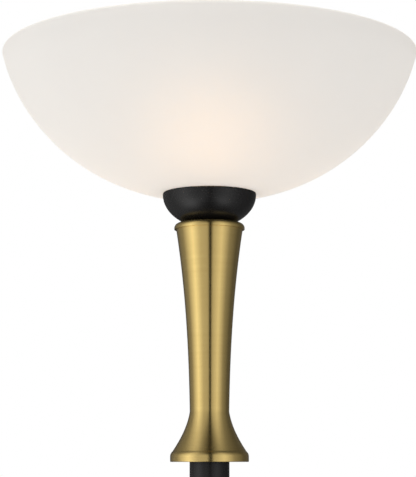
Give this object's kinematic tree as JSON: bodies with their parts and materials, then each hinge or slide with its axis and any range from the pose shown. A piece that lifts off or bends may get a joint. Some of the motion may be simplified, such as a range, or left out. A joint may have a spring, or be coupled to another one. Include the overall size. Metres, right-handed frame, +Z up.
{
  "type": "torchiere floor lamp",
  "caption": "Torchiere floor lamp: frosted glass bowl on a black cup and a flared brass neck, round steel pole, weighted round base, turn switch and screw-in bulb.",
  "frame": {"origin": "on the floor, on the lamp's axis, at the middle of the base's felt", "axes": "+Z up along the pole, -Y to the switch at the front, +Y to the cord's inlet at the back"},
  "size_m": [0.4054, 0.4054, 1.829],
  "materials": {
    "frosted_glass": "frosted, lit from inside",
    "brushed_brass": "brushed round, lacquered",
    "black_paint": "satin black",
    "zinc_steel": "zinc plated",
    "bare_brass": "plain",
    "bakelite": "moulded, satin",
    "porcelain": "glazed",
    "fibre": "pressed fibre",
    "rubber": "moulded",
    "bulb_tin": "plated",
    "bulb_glaze": "glazed black",
    "bulb_plastic": "moulded white",
    "bulb_diffuser": "opal, lit from inside",
    "led_board_white": "white solder mask",
    "led_yellow": "phosphor",
    "circuit_board": "green solder mask",
    "cast_iron": "rough, painted grey",
    "felt": "pressed felt",
    "wire_white": "PVC",
    "wire_black": "PVC",
    "crimp_cap": "moulded nylon"
  },
  "bodies": {
    "lamp": {"glass_bowl": "frosted_glass", "shade_ring": "bakelite", "shade_washer": "fibre", "cup_gasket": "rubber", "shade_cup": "black_paint", "cup_nut": "zinc_steel", "cup_lock_washer": "zinc_steel", "neck_cap": "brushed_brass", "neck_shell": "brushed_brass", "neck_plate": "zinc_steel", "neck_pipe": "zinc_steel", "socket_cap": "bakelite", "socket_body": "bakelite", "socket_block": "porcelain", "socket_shell": "bare_brass", "socket_contact": "bare_brass", "socket_screws": "zinc_steel", "pole_upper": "black_paint", "pole_middle": "black_paint", "pole_lower": "black_paint", "pole_bushings": "zinc_steel", "pole_nipples": "zinc_steel", "switch_body": "bakelite", "switch_barrel": "bare_brass", "switch_saddle": "brushed_brass", "switch_nut": "brushed_brass", "switch_terminals": "bare_brass", "switch_contacts": "bare_brass", "base_collar": "brushed_brass", "base_cover": "black_paint", "base_weight": "cast_iron", "base_felt": "felt", "base_rod": "zinc_steel", "base_washer": "zinc_steel", "base_lock_washer": "zinc_steel", "base_nut": "zinc_steel", "cord_bushing": "rubber", "wire_neutral": "wire_white", "wire_hot_lower": "wire_black", "wire_hot_upper": "wire_black", "wire_caps": "crimp_cap"},
    "switch": {"switch_shaft": "zinc_steel", "switch_rotor": "bulb_plastic", "switch_knob": "brushed_brass"},
    "bulb_seat": {"bulb_tip": "bulb_tin"},
    "bulb": {"bulb_insulator": "bulb_glaze", "bulb_screw_cap": "bulb_tin", "bulb_collar": "bulb_plastic", "bulb_globe": "bulb_diffuser", "led_board": "led_board_white", "led_chips": "led_yellow", "led_driver": "circuit_board"}
  },
  "joints": [
    {"name": "switch_turn", "type": "hinge", "parent": "lamp", "child": "switch", "pos_m": [0, -0.03, 1.13], "axis": [0, -1, 0], "continuous": true},
    {"name": "bulb_rise", "type": "slide", "parent": "lamp", "child": "bulb_seat", "axis": [0, 0, 1], "range_m": [0, 0.01]},
    {"name": "bulb_turn", "type": "hinge", "parent": "bulb_seat", "child": "bulb", "pos_m": [0, 0, 1.75], "axis": [0, 0, 1], "range_deg": [0, 990]}
  ],
  "couplings": [
    {"joint": "bulb_rise", "follows": "bulb_turn", "m_per_rad": 0.00057758}
  ]
}
